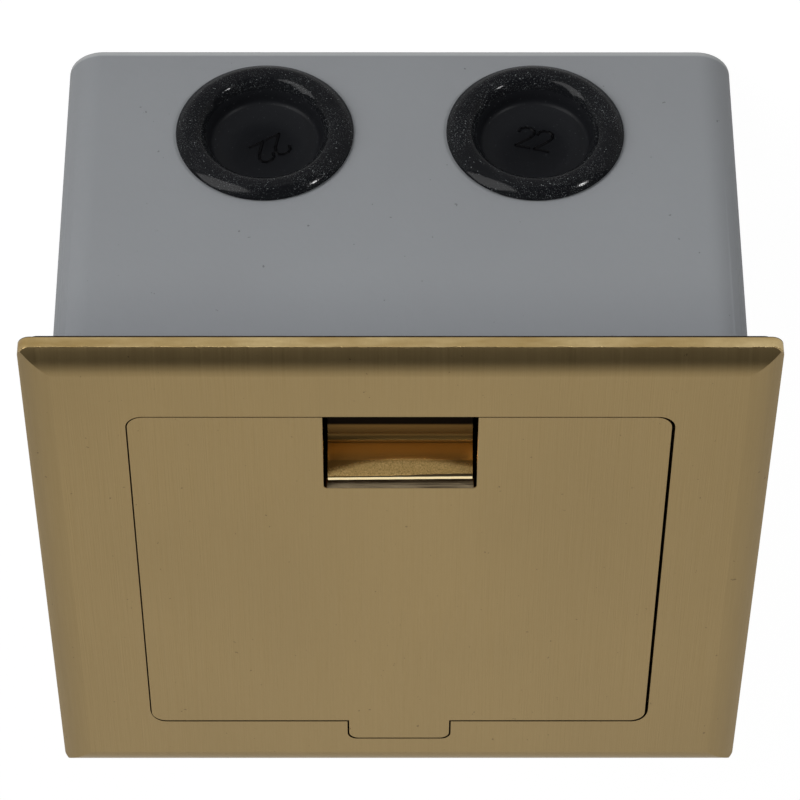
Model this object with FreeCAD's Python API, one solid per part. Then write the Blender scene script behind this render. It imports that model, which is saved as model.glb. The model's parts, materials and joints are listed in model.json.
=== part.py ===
import FreeCAD, Part
import math
import os

# Pop-up floor socket box: a brushed brass cover plate lets into the floor over a
# square back box. A lid in the plate carries a cradle with the outlets; a sliding
# latch frees it and it turns up about two hinge pins, braked by a geared damper.
# Frame: +Z up out of the floor, -Y to the latch side, origin at the centre of the
# back box's bottom. All sizes in millimetres.

V = FreeCAD.Vector
AXIS_X = V(1, 0, 0)
AXIS_Y = V(0, 1, 0)
AXIS_Z = V(0, 0, 1)

# ---- driving dimensions -------------------------------------------------------
# cover plate
PLATE_W = 120.0
PLATE_CORNER_R = 2.0
EDGE_H = 2.07
CROWN_H = 2.0
CROWN_RUN = 5.0
SKIN_T = 2.0
RIM_W = 6.3
OPEN_HALF_X = 43.84
OPEN_FRONT_Y = -44.55
OPEN_CORNER_R = 2.8
UNDERCUT_GAP = 0.3
# back box
BOX_W = 110.8
BOX_DEPTH = 64.43
BOX_WALL = 1.5
BOX_CORNER_R = 8.0
BOX_EDGE_R = 1.0
# lid
LID_T = 2.0
LID_HALF_X = 43.44
LID_SIDE_PLAY = 0.15
LID_FRONT_Y = -44.35
LID_REAR_Y = 44.60
LID_CORNER_R = 2.6
WINDOW_HALF_X = 12.45
WINDOW_REAR_Y = -25.25
WINDOW_CORNER_R = 0.7
TAB_HALF_X = 8.84
TAB_REAR_Y = 50.30
TAB_CORNER_R = 1.7
# hinge
HINGE_Y = 37.0
HINGE_DROP = 6.0
PIN_R = 2.0
PIN_PLAY = 0.05
EAR_X = 45.7
EAR_T = 1.5
# cradle and panel
SHEET_T = 1.5
CHEEK_X = 42.6
PANEL_TILT = 42.0
PANEL_TOP_Y = -18.0
PANEL_TOP_Z = 58.0
PANEL_L = 54.0
PANEL_T = 2.5
MODULE_H = 45.0
# latch
LATCH_HALF_X = 11.75
LATCH_TRAVEL = 1.7
# damper gears
GEAR_MODULE = 0.7
PINION_TEETH = 12
SECTOR_TEETH = 36
PRESSURE_ANGLE = 25.0
ADDENDUM = 0.9
DEDENDUM = 1.15
BACKLASH = 0.16
PINION_BEARING = 100.0
SECTOR_START = 25.0
SECTOR_END = 104.0
# grommets
GROMMET_X = 22.2
GROMMET_DROP = 50.1
GROMMET_R = 14.6
GROMMET_FLOOR_R = 8.9
GROMMET_PROUD = 1.8
GROMMET_WELL = 2.5
ENTRY_R = 11.5
# fixings
SCREW_R = 1.5
MOUNT_SPACING = 60.0
MOUNT_HOLE_R = 2.25

# ---- derived values -----------------------------------------------------------
PLATE_BOTTOM = BOX_DEPTH
PLATE_TOP = PLATE_BOTTOM + EDGE_H + CROWN_H
SKIN_BOTTOM = PLATE_TOP - SKIN_T
LID_BOTTOM = PLATE_TOP - LID_T
HINGE_Z = PLATE_TOP - HINGE_DROP
BOX_HALF = BOX_W / 2
ENTRY_Z = PLATE_TOP - GROMMET_DROP
BOX_IN = BOX_HALF - BOX_WALL
ROOM_HALF = BOX_IN - 1.0
FLANGE_TOP = SKIN_BOTTOM - 1.5
FLANGE_BOTTOM = FLANGE_TOP - SHEET_T
GEAR_GAP = GEAR_MODULE * (PINION_TEETH + SECTOR_TEETH) / 2
PINION_Y = HINGE_Y + GEAR_GAP * math.cos(math.radians(PINION_BEARING))
PINION_Z = HINGE_Z - GEAR_GAP * math.sin(math.radians(PINION_BEARING))


# ---- small helpers ------------------------------------------------------------
def box(x0, y0, z0, x1, y1, z1):
    return Part.makeBox(x1 - x0, y1 - y0, z1 - z0, V(x0, y0, z0))


def rod(radius, length, base, axis=AXIS_Z):
    return Part.makeCylinder(radius, length, base, axis)


def tube(outer_r, inner_r, length, base, axis=AXIS_Z):
    return rod(outer_r, length, base, axis).cut(rod(inner_r, length, base, axis))


def upright_edges(shape, tolerance=1e-6):
    found = []
    for edge in shape.Edges:
        if len(edge.Vertexes) == 2:
            run = edge.Vertexes[1].Point - edge.Vertexes[0].Point
            if math.hypot(run.x, run.y) < tolerance and abs(run.z) > tolerance:
                found.append(edge)
    return found


def rounded_block(x0, y0, z0, x1, y1, z1, corner_r):
    """A block whose four upright edges are rounded."""
    block = box(x0, y0, z0, x1, y1, z1)
    return block.makeFillet(corner_r, upright_edges(block))


def square_block(half, z0, z1, corner_r):
    return rounded_block(-half, -half, z0, half, half, z1, corner_r)


def profile_x(points, x0, x1):
    """Extrude a closed (y, z) outline along X from x0 to x1."""
    ring = [V(x0, y, z) for y, z in points]
    face = Part.Face(Part.makePolygon(ring + ring[:1]))
    return face.extrude(V(x1 - x0, 0, 0))


def join(shapes):
    whole = shapes[0].multiFuse(shapes[1:]) if len(shapes) > 1 else shapes[0]
    return whole.removeSplitter()


def mirror_x(shape):
    return shape.mirror(V(0, 0, 0), AXIS_X)


def post(radius, length, base, axis=AXIS_Z, sides=8):
    """A rod drawn with a few flat sides, for small fasteners and their holes."""
    across = AXIS_X if abs(axis.x) < 0.5 else AXIS_Y
    other = axis.cross(across)
    other.normalize()
    across = other.cross(axis)
    across.normalize()
    ring = []
    for i in range(sides):
        a = 2 * math.pi * i / sides
        ring.append(base + across * (radius * math.cos(a)) + other * (radius * math.sin(a)))
    way = V(axis)
    way.normalize()
    return Part.Face(Part.makePolygon(ring + ring[:1])).extrude(way * length)


def pan_screw(head_r, head_h, shank_r, shank_l, seat, axis):
    """Pan-head screw: its head's underside is at seat and its shank runs along axis."""
    head = post(head_r, head_h, seat - axis * head_h, axis)
    shank = post(shank_r, shank_l, seat, axis)
    return head.fuse(shank)


def turned(profile, sides):
    """Closed (radius, depth) profile turned about Y in flat facets, one per side."""
    faces = []
    for k in range(sides):
        a, b = 2 * math.pi * k / sides, 2 * math.pi * (k + 1) / sides
        for (r0, d0), (r1, d1) in zip(profile, profile[1:] + profile[:1]):
            ends = ((r0, d0, a), (r1, d1, a), (r1, d1, b), (r0, d0, b))
            quad = [V(r * math.cos(t), d, r * math.sin(t)) for r, d, t in ends]
            corners = [p for i, p in enumerate(quad) if (p - quad[i - 1]).Length > 1e-6]
            if len(corners) > 2:
                faces.append(Part.Face(Part.makePolygon(corners + corners[:1])))
    solid = Part.makeSolid(Part.makeShell(faces)).removeSplitter()
    if solid.Volume < 0:
        solid.reverse()
    return solid


def swept_edge_cutter(half_x, reach, corner_r):
    """Solid that the top rear edge of a turning panel sweeps about the hinge line."""
    outline = [
        V(-half_x, 0, 0),
        V(-half_x, reach - corner_r, 0),
        V(-half_x + corner_r, reach, 0),
        V(half_x - corner_r, reach, 0),
        V(half_x, reach - corner_r, 0),
        V(half_x, 0, 0),
    ]
    s = corner_r * (1 - math.sqrt(0.5))
    left = Part.Arc(outline[1], V(-half_x + s, reach - s, 0), outline[2]).toShape()
    right = Part.Arc(outline[3], V(half_x - s, reach - s, 0), outline[4]).toShape()
    edges = [
        Part.makeLine(outline[0], outline[1]),
        left,
        Part.makeLine(outline[2], outline[3]),
        right,
        Part.makeLine(outline[4], outline[5]),
        Part.makeLine(outline[5], outline[0]),
    ]
    face = Part.Face(Part.Wire(edges))
    solid = face.revolve(V(0, 0, 0), AXIS_X, 360)
    solid.translate(V(0, HINGE_Y, HINGE_Z))
    return solid


def hinge_reach(rear_y):
    return math.hypot(rear_y - HINGE_Y, PLATE_TOP - HINGE_Z)


# ---- cover plate --------------------------------------------------------------
def crown_bar():
    """Plate section along Y: upright edges, then arcs that die into the flat top."""
    half = PLATE_W / 2
    arc_r = (CROWN_RUN ** 2 + CROWN_H ** 2) / (2 * CROWN_H)
    edge_top = PLATE_BOTTOM + EDGE_H
    turn = math.asin(CROWN_RUN / arc_r) / 2
    mid_y = half - CROWN_RUN + arc_r * math.sin(turn)
    mid_z = PLATE_TOP - arc_r * (1 - math.cos(turn))
    right = [V(-half, half, PLATE_BOTTOM), V(-half, half, edge_top), V(-half, half - CROWN_RUN, PLATE_TOP)]
    left = [V(p.x, -p.y, p.z) for p in right]
    edges = [
        Part.makeLine(right[0], right[1]),
        Part.Arc(right[1], V(-half, mid_y, mid_z), right[2]).toShape(),
        Part.makeLine(right[2], left[2]),
        Part.Arc(left[2], V(-half, -mid_y, mid_z), left[1]).toShape(),
        Part.makeLine(left[1], left[0]),
        Part.makeLine(left[0], right[0]),
    ]
    return Part.Face(Part.Wire(edges)).extrude(V(PLATE_W, 0, 0))


def lid_opening():
    top = PLATE_TOP + 1
    low = PLATE_BOTTOM - 1
    straight_end = HINGE_Y + 3.0
    prism = rounded_block(
        -OPEN_HALF_X, OPEN_FRONT_Y, low, OPEN_HALF_X, straight_end + OPEN_CORNER_R, top, OPEN_CORNER_R
    )
    prism = prism.common(box(-PLATE_W, OPEN_FRONT_Y - 1, low, PLATE_W, straight_end, top))
    rear = swept_edge_cutter(OPEN_HALF_X, hinge_reach(LID_REAR_Y) + UNDERCUT_GAP, OPEN_CORNER_R)
    tab = swept_edge_cutter(
        TAB_HALF_X + UNDERCUT_GAP, hinge_reach(TAB_REAR_Y) + UNDERCUT_GAP, TAB_CORNER_R
    )
    return prism.fuse(rear).fuse(tab)


FRAME_SCREWS = [(-49.0, -26.0), (49.0, -26.0), (-49.0, 20.0), (49.0, 20.0)]


def cover_plate():
    bar = crown_bar()
    turned = bar.copy()
    turned.rotate(V(0, 0, 0), AXIS_Z, 90)
    plate = bar.common(turned)
    plate = plate.common(square_block(PLATE_W / 2, PLATE_BOTTOM, PLATE_TOP, PLATE_CORNER_R))
    hollow = square_block(PLATE_W / 2 - RIM_W, PLATE_BOTTOM - 1, SKIN_BOTTOM, 5.0)
    plate = plate.cut(hollow)
    bosses = [post(3.6, SKIN_BOTTOM - FLANGE_TOP + 0.5, V(x, y, FLANGE_TOP)) for x, y in FRAME_SCREWS]
    plate = join([plate] + bosses)
    holes = [post(SCREW_R, 2.2, V(x, y, FLANGE_TOP)) for x, y in FRAME_SCREWS]
    plate = plate.cut(Part.makeCompound(holes))
    return plate.cut(lid_opening())


def floor_gasket():
    outer = square_block(PLATE_W / 2 - 1.1, PLATE_BOTTOM - 1.0, PLATE_BOTTOM, PLATE_CORNER_R)
    return outer.cut(square_block(BOX_HALF + 0.2, PLATE_BOTTOM - 2, PLATE_BOTTOM + 1, BOX_CORNER_R))


# ---- back box -----------------------------------------------------------------
BOX_LUG = 49.3
LUG_HALF = 3.2
LUG_HOLE_R = 1.65


def back_box():
    outer = square_block(BOX_HALF, 0, BOX_DEPTH, BOX_CORNER_R)
    low_edges = [e for e in outer.Edges if all(abs(v.Z) < 1e-6 for v in e.Vertexes)]
    outer = outer.makeChamfer(BOX_EDGE_R, low_edges)
    inner = square_block(BOX_IN, BOX_WALL, BOX_DEPTH + 1, BOX_CORNER_R - BOX_WALL)
    shell = outer.cut(inner)
    lug_block = square_block(BOX_IN + 0.3, FLANGE_BOTTOM - 3.0, FLANGE_BOTTOM, BOX_CORNER_R - BOX_WALL)
    lugs = []
    for sx in (-1, 1):
        for sy in (-1, 1):
            x0, x1 = sorted((sx * (BOX_LUG - LUG_HALF), sx * BOX_HALF))
            y0, y1 = sorted((sy * (BOX_LUG - LUG_HALF), sy * BOX_HALF))
            lugs.append(box(x0, y0, 0, x1, y1, BOX_DEPTH).common(lug_block))
    cuts = []
    for sx in (-1, 1):
        for sy in (-1, 1):
            cuts.append(post(LUG_HOLE_R, 8, V(sx * BOX_LUG, sy * BOX_LUG, FLANGE_BOTTOM - 5)))
            cuts.append(rod(MOUNT_HOLE_R, 6, V(sx * MOUNT_SPACING / 2, sy * MOUNT_SPACING / 2, -1)))
        for side in (-1, 1):
            cuts.append(entry_cut(sx * GROMMET_X, side))
    boss = post(4.0, 3.0, V(38, -20, BOX_WALL)).cut(post(SCREW_R, 3.0, V(38, -20, BOX_WALL)))
    shell = join([shell] + lugs)
    return shell.cut(Part.makeCompound(cuts)).fuse(boss).removeSplitter()


def entry_cut(x, side):
    """Round cable entry through the wall."""
    return rod(ENTRY_R, 6, V(x, side * (BOX_HALF - 4), ENTRY_Z), V(0, side, 0))


def grommet(x, side):
    """Membrane grommet as one turned profile: domed rim, sunk floor, barbed neck."""
    crest = -GROMMET_PROUD
    profile = [
        (GROMMET_R, 0),
        (GROMMET_R, -0.5),
        (GROMMET_R - 1.0, crest + 0.4),
        (GROMMET_R - 2.8, crest),
        (GROMMET_FLOOR_R + 1.3, crest + 0.2),
        (GROMMET_FLOOR_R + 0.5, crest + 0.8),
        (GROMMET_FLOOR_R, GROMMET_WELL),
        (0, GROMMET_WELL),
        (0, GROMMET_WELL + 1.4),
        (ENTRY_R - 0.6, GROMMET_WELL + 1.4),
        (ENTRY_R + 1.2, BOX_WALL),
        (ENTRY_R, BOX_WALL),
        (ENTRY_R, 0),
    ]
    solid = turned(profile, 24)
    if side > 0:
        solid.rotate(V(0, 0, 0), AXIS_Z, 180)
    solid.translate(V(x, side * BOX_HALF, ENTRY_Z))
    return solid


def earth_terminal():
    seat = V(38, -20, BOX_WALL + 3.0)
    washer = post(3.6, 0.8, seat).cut(post(SCREW_R, 0.8, seat))
    screw = pan_screw(2.8, 2.0, SCREW_R, 3.6, seat + V(0, 0, 0.8), V(0, 0, -1))
    return Part.makeCompound([washer, screw])


# ---- inner frame --------------------------------------------------------------
DAMPER_ARM_X = EAR_X + EAR_T
KEEPER_DROP = 0.3
TONGUE_TOP = PLATE_TOP - 6.0
TONGUE_T = 1.2


def inner_frame():
    flange = square_block(ROOM_HALF, FLANGE_BOTTOM, FLANGE_TOP, 6.0)
    inner_x = OPEN_HALF_X + 0.4
    flange = flange.cut(box(-inner_x, OPEN_FRONT_Y - 0.6, 0, inner_x, 47.5, PLATE_TOP))
    keep_z = TONGUE_TOP + KEEPER_DROP
    parts = [flange]
    # side skirts, stiffening the flange's inner edge ahead of the gears
    for sx in (-1, 1):
        x0, x1 = sorted((sx * inner_x, sx * (inner_x + SHEET_T)))
        parts.append(box(x0, OPEN_FRONT_Y - 2.1, FLANGE_TOP - 5, x1, 18, FLANGE_TOP))
    # front skirt with the latch keeper's lip folded in under the plate
    front_y = OPEN_FRONT_Y - 0.6
    parts.append(box(-inner_x, front_y - SHEET_T, FLANGE_TOP - 8, inner_x, front_y, FLANGE_TOP))
    keeper = box(-15, front_y - 0.1, keep_z, 15, OPEN_FRONT_Y - 0.1, keep_z + 1.3)
    parts.append(keeper)
    # rear rail
    parts.append(box(-inner_x - SHEET_T, 47.5, FLANGE_TOP - 4, inner_x + SHEET_T, 49.0, FLANGE_TOP))
    # seats under the lid's front corners
    for sx in (-1, 1):
        x0, x1 = sorted((sx * 34, sx * (inner_x + 0.5)))
        parts.append(box(x0, front_y - 0.5, FLANGE_BOTTOM - 1.0, x1, OPEN_FRONT_Y + 6, FLANGE_BOTTOM + 0.5))
    for sx in (-1, 1):
        parts.append(hinge_ear(sx))
    frame = join(parts)
    frame = frame.cut(inner_frame_cuts())
    return frame.removeSplitter()


def hinge_ear(sx):
    """Upright ear folded down from the flange; the left one runs on as the damper's arm."""
    low = HINGE_Z - 5.5
    x0, x1 = sorted((sx * EAR_X, sx * (EAR_X + EAR_T)))
    if sx > 0:
        web = box(x0, HINGE_Y - 5.5, HINGE_Z, x1, HINGE_Y + 5.5, FLANGE_TOP)
        eye = rod(5.5, EAR_T, V(x0, HINGE_Y, HINGE_Z), AXIS_X)
        eye = eye.common(box(x0, 0, 0, x1, PLATE_W, FLANGE_TOP))
        return web.fuse(eye)
    outline = [
        (HINGE_Y + 7, FLANGE_TOP),
        (HINGE_Y + 7, low),
        (PINION_Y + 12.5, PINION_Z + 2),
        (PINION_Y + 11.0, PINION_Z - 4),
        (PINION_Y + 5.0, PINION_Z - 7),
        (PINION_Y - 5.0, PINION_Z - 7),
        (PINION_Y - 11.0, PINION_Z - 4),
        (PINION_Y - 12.5, PINION_Z + 2),
        (PINION_Y - 10.0, FLANGE_TOP),
    ]
    return profile_x(outline, x0, x1)


def inner_frame_cuts():
    cuts = [
        box(-TAB_HALF_X - 1.2, 40, 0, TAB_HALF_X + 1.2, HINGE_Y + hinge_reach(TAB_REAR_Y) + 0.5, PLATE_TOP),
        rod(PIN_R, 200, V(-100, HINGE_Y, HINGE_Z), AXIS_X),
        rod(2.6, 6, V(-EAR_X - EAR_T - 2, PINION_Y, PINION_Z), AXIS_X),
        box(-13, OPEN_FRONT_Y - 3, TONGUE_TOP - 2, 13, OPEN_FRONT_Y - 0.1, TONGUE_TOP + KEEPER_DROP),
    ]
    for sx in (-1, 1):
        x0, x1 = sorted((sx * 43, sx * EAR_X))
        cuts.append(box(x0, HINGE_Y - 5, HINGE_Z - 9, x1, HINGE_Y + 5, PLATE_TOP))
        for sy in (-1, 1):
            cuts.append(post(2.1, 8, V(sx * BOX_LUG, sy * BOX_LUG, FLANGE_BOTTOM - 2)))
    for x, y in FRAME_SCREWS:
        cuts.append(post(SCREW_R + 0.1, 8, V(x, y, FLANGE_BOTTOM - 2)))
    for dy, dz in DAMPER_SCREWS:
        cuts.append(post(1.0, 6, V(-EAR_X - EAR_T - 2, PINION_Y + dy, PINION_Z + dz), AXIS_X))
    return Part.makeCompound(cuts)


def frame_screws():
    screws = []
    for x, y in FRAME_SCREWS:
        screws.append(pan_screw(2.7, 1.8, SCREW_R, SHEET_T + 2.0, V(x, y, FLANGE_BOTTOM), AXIS_Z))
    return Part.makeCompound(screws)


def box_screws():
    screws = []
    for sx in (-1, 1):
        for sy in (-1, 1):
            seat = V(sx * BOX_LUG, sy * BOX_LUG, FLANGE_TOP)
            screws.append(pan_screw(3.3, 1.4, LUG_HOLE_R, 9.0, seat, V(0, 0, -1)))
    return Part.makeCompound(screws)


def lid_buffers():
    pads = []
    for sx in (-1, 1):
        foot = V(sx * 38.5, OPEN_FRONT_Y + 3.4, FLANGE_BOTTOM + 0.5)
        pads.append(post(2.3, LID_BOTTOM - 0.05 - foot.z, foot))
    return Part.makeCompound(pads)


def hinge_pin(sx):
    """Headed from inside the cheek, riveted flush in the frame's ear."""
    head = post(3.2, 0.8, V(40.0, HINGE_Y, HINGE_Z), AXIS_X)
    shank = rod(PIN_R, EAR_X + EAR_T - 40.4, V(40.4, HINGE_Y, HINGE_Z), AXIS_X)
    pin = head.fuse(shank).removeSplitter()
    return pin if sx > 0 else mirror_x(pin)


SPRING_R = 3.0
SPRING_WIRE_R = 0.42


def wire_coil(points, wire_r):
    """Sprung wire with a square section, mitred along a chain of short runs."""
    path = Part.makePolygon(points)
    run = points[1] - points[0]
    run.normalize()
    side = run.cross(V(0.3, 0.2, 0.9))
    side.normalize()
    other = run.cross(side)
    corners = []
    for a, b in ((1, 1), (1, -1), (-1, -1), (-1, 1)):
        corners.append(points[0] + side * (wire_r * a * 0.9) + other * (wire_r * b * 0.9))
    section = Part.makePolygon(corners + corners[:1])
    return path.makePipeShell([section], True, False, 1)


def coil_points(start_x, length, radius, turns, runs_per_turn):
    """Points of a helix about the X axis that starts at +Y."""
    total = turns * runs_per_turn
    points = []
    for i in range(total + 1):
        a = 2 * math.pi * i / runs_per_turn
        points.append(V(start_x + length * i / total, radius * math.cos(a), radius * math.sin(a)))
    return points


def lid_spring(sx):
    """Torsion spring round the pin, one leg up to the frame and one down the cheek."""
    start_x = CHEEK_X + 0.3 + SPRING_WIRE_R
    length = 1.9
    points = coil_points(start_x, length, SPRING_R, 2, 10)
    down_leg = points[0] - V(0, 0, 5.0)
    up_leg = points[-1] + V(0, 0, 3.3)
    spring = wire_coil([down_leg] + points + [up_leg], SPRING_WIRE_R)
    spring.translate(V(0, HINGE_Y, HINGE_Z))
    return spring if sx > 0 else mirror_x(spring)


# ---- damper -------------------------------------------------------------------
DAMPER_R = 7.5
DAMPER_L = 5.6
DAMPER_SCREWS = [(-9.9, 0.0), (9.9, 0.0)]


def involute_flank(base_r, from_r, to_r, steps):
    """(radius, polar angle) along an involute of the base circle."""
    points = []
    for i in range(steps + 1):
        r = from_r + (to_r - from_r) * i / steps
        roll = math.sqrt(max((r / base_r) ** 2 - 1, 0))
        points.append((r, roll - math.atan(roll)))
    return points


def tooth(teeth, thin):
    """One involute tooth standing on +Y in the YZ plane, as a face at x = 0."""
    pitch_r = GEAR_MODULE * teeth / 2
    base_r = pitch_r * math.cos(math.radians(PRESSURE_ANGLE))
    tip_r = pitch_r + ADDENDUM * GEAR_MODULE
    root_r = pitch_r - DEDENDUM * GEAR_MODULE
    inv_pitch = math.tan(math.radians(PRESSURE_ANGLE)) - math.radians(PRESSURE_ANGLE)
    half = math.pi / (2 * teeth) - thin / (2 * pitch_r) + inv_pitch
    flank = involute_flank(base_r, max(base_r, root_r), tip_r, 3)
    right = [V(0, r * math.cos(half - a), r * math.sin(half - a)) for r, a in flank]
    foot_angle = half if root_r < base_r else half - flank[0][1]
    low = (root_r - 0.3) * math.cos(foot_angle)
    foot = V(0, low, (root_r - 0.3) * math.sin(foot_angle))
    left = [V(0, p.y, -p.z) for p in right]
    ring = [V(0, foot.y, -foot.z), foot] + right + left[::-1]
    return Part.Face(Part.makePolygon(ring + ring[:1]))


def gear_teeth(teeth, angles, x0, width):
    """Extruded teeth at polar angles measured from +Y towards -Z."""
    blank = tooth(teeth, BACKLASH / 2).extrude(V(width, 0, 0))
    placed = []
    for angle in angles:
        one = blank.copy()
        one.rotate(V(0, 0, 0), AXIS_X, -angle)
        one.translate(V(x0, 0, 0))
        placed.append(one)
    return placed


SECTOR_X = -45.2
SECTOR_T = 2.4


def damper_sector():
    """Toothed segment riveted to the left cheek, centred on the hinge line."""
    pitch_r = GEAR_MODULE * SECTOR_TEETH / 2
    root_r = pitch_r - DEDENDUM * GEAR_MODULE
    step = 360.0 / SECTOR_TEETH
    count = int((SECTOR_END - SECTOR_START) / step)
    first = PINION_BEARING - step * int((PINION_BEARING - SECTOR_START) / step)
    angles = [first + step * i for i in range(count + 1)]
    ring = tube(root_r, 6.4, SECTOR_T, V(SECTOR_X, 0, 0), AXIS_X)
    a0 = math.radians(angles[0] - 5)
    a1 = math.radians(angles[-1] + 5)
    far = 30.0
    middle = (a0 + a1) / 2
    wedge = [(0.0, 0.0)]
    for a in (a0, middle - 0.5, middle + 0.5, a1):
        wedge.append((far * math.cos(a), -far * math.sin(a)))
    ring = ring.common(profile_x(wedge, SECTOR_X, SECTOR_X + SECTOR_T))
    sector = join([ring] + gear_teeth(SECTOR_TEETH, angles, SECTOR_X, SECTOR_T))
    sector.translate(V(0, HINGE_Y, HINGE_Z))
    for a in SECTOR_RIVETS:
        sector = sector.cut(post(0.8, 10, sector_point(a, SECTOR_X - 3), AXIS_X))
    return sector


SECTOR_RIVETS = (34.0, 65.0, 96.0)
RIVET_RING_R = 9.1


def sector_point(angle, x):
    a = math.radians(angle)
    return V(x, HINGE_Y + RIVET_RING_R * math.cos(a), HINGE_Z - RIVET_RING_R * math.sin(a))


def sector_rivets():
    rivets = []
    for a in SECTOR_RIVETS:
        shank = post(0.8, SECTOR_T + SHEET_T + 0.35, sector_point(a, SECTOR_X), AXIS_X)
        head = post(1.5, 0.5, sector_point(a, -CHEEK_X + SHEET_T), AXIS_X)
        rivets.append(shank.fuse(head))
    return Part.makeCompound(rivets)


def damper_pinion():
    """Pinion whose gaps face the sector, on the damper's rotor shaft."""
    pitch_r = GEAR_MODULE * PINION_TEETH / 2
    root_r = pitch_r - DEDENDUM * GEAR_MODULE
    step = 360.0 / PINION_TEETH
    towards_sector = PINION_BEARING + 180.0
    angles = [towards_sector + step * (i + 0.5) for i in range(PINION_TEETH)]
    hub = rod(root_r, SECTOR_T, V(SECTOR_X, 0, 0), AXIS_X)
    pinion = join([hub] + gear_teeth(PINION_TEETH, angles, SECTOR_X, SECTOR_T))
    shaft = post(1.6, 2.6, V(SECTOR_X - 2.6, 0, 0), AXIS_X)
    pinion = pinion.fuse(shaft).removeSplitter()
    pinion.translate(V(0, PINION_Y, PINION_Z))
    return pinion


def damper_body():
    """Sealed rotary damper: a drum on a strap with two screw ends, hollow for the rotor."""
    x0 = -DAMPER_ARM_X - DAMPER_L
    drum = post(DAMPER_R - 0.7, 0.7, V(x0, PINION_Y, PINION_Z), AXIS_X, 24)
    drum = drum.fuse(post(DAMPER_R, DAMPER_L - 0.7, V(x0 + 0.7, PINION_Y, PINION_Z), AXIS_X, 24))
    reach = DAMPER_SCREWS[1][0]
    strap = [
        (PINION_Y - reach - 2.4, PINION_Z + 1.2),
        (PINION_Y - reach - 1.2, PINION_Z + 2.4),
        (PINION_Y + reach + 1.2, PINION_Z + 2.4),
        (PINION_Y + reach + 2.4, PINION_Z + 1.2),
        (PINION_Y + reach + 2.4, PINION_Z - 1.2),
        (PINION_Y + reach + 1.2, PINION_Z - 2.4),
        (PINION_Y - reach - 1.2, PINION_Z - 2.4),
        (PINION_Y - reach - 2.4, PINION_Z - 1.2),
    ]
    collar = post(2.5, EAR_T, V(-DAMPER_ARM_X, PINION_Y, PINION_Z), AXIS_X)
    body = join([drum, profile_x(strap, -DAMPER_ARM_X - 1.6, -DAMPER_ARM_X), collar])
    cuts = [rod(1.7, EAR_T + 1.5, V(-DAMPER_ARM_X - 1.5, PINION_Y, PINION_Z), AXIS_X)]
    for dy, dz in DAMPER_SCREWS:
        cuts.append(post(1.0, 4, V(-DAMPER_ARM_X - 3, PINION_Y + dy, PINION_Z + dz), AXIS_X))
    return body.cut(Part.makeCompound(cuts)).removeSplitter()


def damper_screws():
    screws = []
    for dy, dz in DAMPER_SCREWS:
        seat = V(-DAMPER_ARM_X - 1.6, PINION_Y + dy, PINION_Z + dz)
        screws.append(pan_screw(1.9, 1.2, 1.0, 3.1, seat, AXIS_X))
    return Part.makeCompound(screws)


# ---- lid ----------------------------------------------------------------------
LID_SCREWS = [(-36.5, -18.0), (36.5, -18.0), (-36.5, 22.0), (36.5, 22.0)]
GUIDE_SCREWS = [(-18.8, -20.0), (18.8, -20.0)]
GUIDE_T = 1.3


def lid():
    lid_x0 = -LID_HALF_X + LID_SIDE_PLAY
    lid_x1 = LID_HALF_X + LID_SIDE_PLAY
    plate = rounded_block(lid_x0, LID_FRONT_Y, LID_BOTTOM, lid_x1, LID_REAR_Y, PLATE_TOP, LID_CORNER_R)
    tab = rounded_block(-TAB_HALF_X, 40, LID_BOTTOM, TAB_HALF_X, TAB_REAR_Y, PLATE_TOP, TAB_CORNER_R)
    plate = join([plate, tab])
    notch = rounded_block(
        -WINDOW_HALF_X, LID_FRONT_Y - 5, LID_BOTTOM - 1, WINDOW_HALF_X, WINDOW_REAR_Y, PLATE_TOP + 1,
        WINDOW_CORNER_R,
    )
    plate = plate.cut(notch)
    bosses = []
    holes = []
    for x, y in LID_SCREWS:
        bosses.append(post(3.0, 0.9, V(x, y, LID_BOTTOM - 0.8)))
        holes.append(post(1.2, 2.2, V(x, y, LID_BOTTOM - 0.8)))
    for x, y in GUIDE_SCREWS:
        holes.append(post(1.2, 1.4, V(x, y, LID_BOTTOM)))
    return join([plate] + bosses).cut(Part.makeCompound(holes))


def lid_screws():
    screws = []
    for x, y in LID_SCREWS:
        seat = V(x, y, LID_BOTTOM - 0.8 - SHEET_T)
        screws.append(pan_screw(2.3, 1.5, 1.2, SHEET_T + 2.0, seat, AXIS_Z))
    for x, y in GUIDE_SCREWS:
        seat = V(x, y, LID_BOTTOM - GUIDE_T)
        screws.append(pan_screw(2.2, 1.4, 1.2, GUIDE_T + 1.2, seat, AXIS_Z))
    return Part.makeCompound(screws)


# ---- cradle and outlets -------------------------------------------------------
CHEEK_TOP = LID_BOTTOM - 0.8
REAR_Y = 46.0


def panel_point(along, out):
    """(y, z) of a point on the panel: along from its top edge, out along its normal."""
    t = math.radians(PANEL_TILT)
    y = PANEL_TOP_Y + along * math.cos(t) - out * math.sin(t)
    z = PANEL_TOP_Z - along * math.sin(t) - out * math.cos(t)
    return y, z


def place_on_panel(shape):
    """Move a shape from panel axes (x, up the panel, outward) into the frame."""
    shape.rotate(V(0, 0, 0), AXIS_X, 180 - PANEL_TILT)
    shape.translate(V(0, PANEL_TOP_Y, PANEL_TOP_Z))
    return shape


def cheek_outline(inset=0.0):
    low_y, low_z = panel_point(PANEL_L + 1.0 - inset, 1.5 - inset)
    top_y, top_z = panel_point(-1.0 + inset, 1.5 - inset)
    return [
        (top_y, CHEEK_TOP - inset),
        (top_y, top_z),
        (low_y, low_z),
        (low_y + 9.0, low_z),
        (REAR_Y - inset, low_z + 18.0),
        (REAR_Y - inset, HINGE_Z),
        (HINGE_Y + 7.9 - inset, CHEEK_TOP - inset),
    ]


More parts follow.
